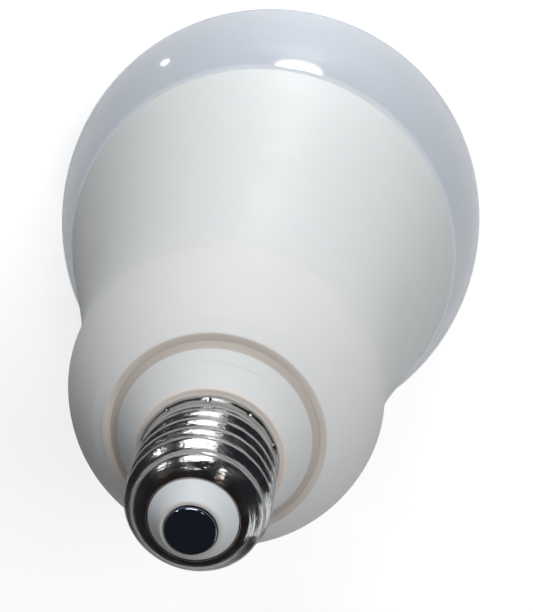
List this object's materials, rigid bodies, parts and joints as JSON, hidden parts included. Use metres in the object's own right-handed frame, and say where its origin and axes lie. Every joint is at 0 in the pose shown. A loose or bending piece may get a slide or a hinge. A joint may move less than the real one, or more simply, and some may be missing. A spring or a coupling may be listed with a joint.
{
  "type": "smart flood light bulb",
  "caption": "Reflector-shaped smart light bulb: nickel screw cap, stepped white collar, bulged shoulder and flared horn, glossy opal diffuser, driver, radio and lamp board inside",
  "frame": {"origin": "middle of the centre contact's face at the tip of the screw cap", "axes": "+Z points out of the cap along the lamp's axis, so the lamp hangs below the origin and its light goes towards -Z; +X is the side where the neutral lead meets the shell"},
  "size_m": [0.1266, 0.1266, 0.2011],
  "materials": {
    "shell_nickel": "polished nickel plate on rolled brass, fine handling scratches",
    "contact_nickel": "polished nickel disc with a softly rounded rim",
    "insulator_glaze": "off-white glazed insulator, smooth",
    "rivet_brass": "plain drawn brass",
    "collar_white": "satin white moulded plastic, faint ivory tint",
    "housing_white": "satin white moulded plastic with a very fine texture",
    "diffuser_opal": "glossy opal polycarbonate with a cool tint",
    "silicone_white": "white silicone adhesive bead",
    "spun_aluminium": "pressed aluminium, fine turning marks",
    "pad_grey": "soft grey thermal pad",
    "board_white": "white solder mask on an aluminium core",
    "warm_phosphor": "yellow phosphor gel in a white frame",
    "cool_phosphor": "pale yellow phosphor gel in a white frame",
    "clear_gel": "clear gel over three dies in a white frame",
    "zinc_steel": "bright zinc-plated steel",
    "reflector_white": "white reflector plastic",
    "sleeve_ivory": "matte flame-retardant moulding",
    "fibreglass_green": "green solder mask on fibreglass",
    "film_yellow": "cast plastic box",
    "disc_blue": "dipped epoxy coat",
    "resistor_sleeve": "black shrink sleeve",
    "epoxy_black": "moulded black epoxy",
    "ferrite_grey": "sintered dark ferrite",
    "copper_enamel": "enamelled copper wire",
    "can_sleeve": "dark printed-free sleeve on an aluminium can",
    "bobbin_cream": "cream bobbin plastic",
    "chip_body": "small ceramic bodies with tinned ends",
    "lead_red": "red insulated wire",
    "lead_black": "black insulated wire",
    "pin_gold": "gold-flashed pins",
    "socket_white": "white connector plastic",
    "shield_tin": "tinned shield can"
  },
  "bodies": {
    "root": {"board_screws": "zinc_steel", "bridge_rectifier": "epoxy_black", "bulk_capacitor": "can_sleeve", "cap_insulator": "insulator_glaze", "centre_contact": "contact_nickel", "collar_seal": "silicone_white", "colour_leds": "clear_gel", "contact_pin": "rivet_brass", "controller_chips": "epoxy_black", "cool_leds": "cool_phosphor", "diffuser": "diffuser_opal", "diffuser_seal": "silicone_white", "driver_board": "fibreglass_green", "driver_sleeve": "sleeve_ivory", "film_capacitor": "film_yellow", "fuse_resistor": "resistor_sleeve", "heat_cup": "spun_aluminium", "housing": "housing_white", "inductor_core": "ferrite_grey", "inductor_winding": "copper_enamel", "led_board": "board_white", "link_pins": "pin_gold", "link_socket": "socket_white", "live_lead": "lead_red", "neck_collar": "collar_white", "neutral_lead": "lead_black", "output_capacitor": "can_sleeve", "radio_antenna": "pin_gold", "radio_board": "fibreglass_green", "radio_shield": "shield_tin", "reflector_cone": "reflector_white", "screw_shell": "shell_nickel", "small_passives": "chip_body", "thermal_pad": "pad_grey", "transformer_bobbin": "bobbin_cream", "transformer_core": "ferrite_grey", "transformer_winding": "copper_enamel", "varistor": "disc_blue", "warm_leds": "warm_phosphor"}
  },
  "joints": []
}
